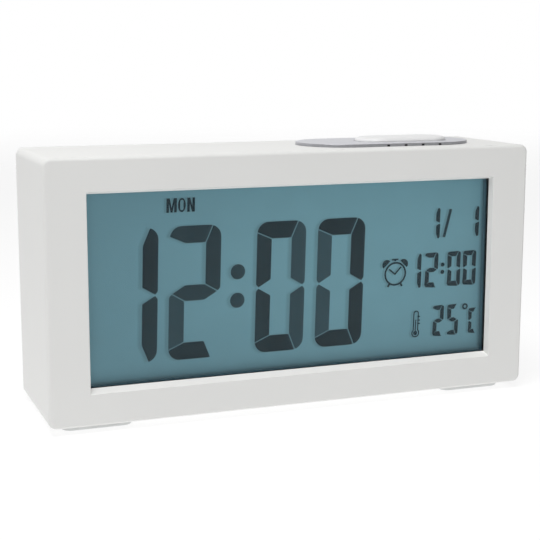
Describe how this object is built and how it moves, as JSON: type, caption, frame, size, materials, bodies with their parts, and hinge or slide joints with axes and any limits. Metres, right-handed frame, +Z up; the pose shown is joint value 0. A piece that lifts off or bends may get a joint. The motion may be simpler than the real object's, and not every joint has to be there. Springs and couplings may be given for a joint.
{
  "type": "digital alarm clock",
  "caption": "Free-standing battery alarm clock: white moulded case, wide clear-fronted display, snooze button in a silver top panel, rear keys and a hinged battery door.",
  "frame": {"origin": "on the surface the clock stands on, under the middle of the case", "axes": "+X to the right as seen from the front, +Y to the back, +Z up; the display faces -Y"},
  "size_m": [0.146, 0.0396, 0.0772],
  "materials": {
    "case_white": "satin",
    "window_clear": "gloss",
    "gasket_black": "matte",
    "polarizer_film": "satin",
    "display_glass": "gloss",
    "white_sheet": "matte",
    "light_guide_acrylic": "gloss",
    "frame_plastic": "matte",
    "circuit_board": "satin",
    "led_resin": "satin",
    "elastomer_pink": "matte",
    "epoxy_black": "matte",
    "crystal_can": "satin",
    "capacitor_sleeve": "gloss",
    "sensor_bead": "gloss",
    "screw_steel": "satin",
    "panel_silver": "satin",
    "button_white": "satin",
    "silicone_grey": "matte",
    "ribbon_grey": "satin",
    "key_grey": "satin",
    "switch_case": "satin",
    "battery_cell": "satin",
    "contact_nickel": "satin",
    "lead_insulation": "satin",
    "foot_plastic": "matte"
  },
  "bodies": {
    "case": {"front_case": "case_white", "rear_cover": "case_white", "display_window": "window_clear", "window_gasket": "gasket_black", "front_polarizer": "polarizer_film", "rear_polarizer": "polarizer_film", "lcd_front_glass": "display_glass", "lcd_rear_glass": "display_glass", "diffuser_sheet": "white_sheet", "reflector_sheet": "white_sheet", "light_guide": "light_guide_acrylic", "lcd_frame": "frame_plastic", "backlight_board": "circuit_board", "backlight_leds": "led_resin", "elastomer_connector": "elastomer_pink", "main_board": "circuit_board", "clock_chip": "epoxy_black", "chip_resistors": "epoxy_black", "quartz_crystal": "crystal_can", "capacitor": "capacitor_sleeve", "buzzer": "epoxy_black", "temperature_sensor": "sensor_bead", "board_screws": "screw_steel", "top_panel": "panel_silver", "snooze_dome": "silicone_grey", "snooze_board": "circuit_board", "snooze_screws": "screw_steel", "snooze_ribbon": "ribbon_grey", "rear_screws": "screw_steel", "key_switches": "epoxy_black", "key_board": "circuit_board", "key_board_screws": "screw_steel", "key_ribbon": "ribbon_grey", "alarm_switch": "switch_case", "battery_lower": "battery_cell", "battery_middle": "battery_cell", "battery_upper": "battery_cell", "battery_springs": "contact_nickel", "battery_plates": "contact_nickel", "battery_leads": "lead_insulation", "foot_front_left": "foot_plastic", "foot_front_right": "foot_plastic", "foot_rear_left": "foot_plastic", "foot_rear_right": "foot_plastic"},
    "snooze_button": {"snooze_button": "button_white"},
    "alarm_slider": {"alarm_slider": "key_grey"},
    "battery_door": {"battery_door": "case_white"},
    "key_mode": {"key_mode": "key_grey", "plunger_mode": "epoxy_black"},
    "key_alarm": {"key_alarm": "key_grey", "plunger_alarm": "epoxy_black"},
    "key_up": {"key_up": "key_grey", "plunger_up": "epoxy_black"},
    "key_down": {"key_down": "key_grey", "plunger_down": "epoxy_black"}
  },
  "joints": [
    {"name": "snooze_press", "type": "slide", "parent": "case", "child": "snooze_button", "axis": [0, 0, -1], "range_m": [0, 0.0009], "stiffness_N_per_m": 400, "springref_m": -0.0006, "deforming": ["snooze_dome"]},
    {"name": "key_mode_press", "type": "slide", "parent": "case", "child": "key_mode", "axis": [0, -1, 0], "range_m": [0, 0.0005], "stiffness_N_per_m": 400, "springref_m": -0.0005},
    {"name": "key_alarm_press", "type": "slide", "parent": "case", "child": "key_alarm", "axis": [0, -1, 0], "range_m": [0, 0.0005], "stiffness_N_per_m": 400, "springref_m": -0.0005},
    {"name": "key_up_press", "type": "slide", "parent": "case", "child": "key_up", "axis": [0, -1, 0], "range_m": [0, 0.0005], "stiffness_N_per_m": 400, "springref_m": -0.0005},
    {"name": "key_down_press", "type": "slide", "parent": "case", "child": "key_down", "axis": [0, -1, 0], "range_m": [0, 0.0005], "stiffness_N_per_m": 400, "springref_m": -0.0005},
    {"name": "alarm_slide", "type": "slide", "parent": "case", "child": "alarm_slider", "axis": [1, 0, 0], "range_m": [0, 0.002]},
    {"name": "battery_door_swing", "type": "hinge", "parent": "case", "child": "battery_door", "pos_m": [0, 0.0175, 0.0089], "axis": [-1, 0, 0], "range_deg": [0, 90]}
  ]
}
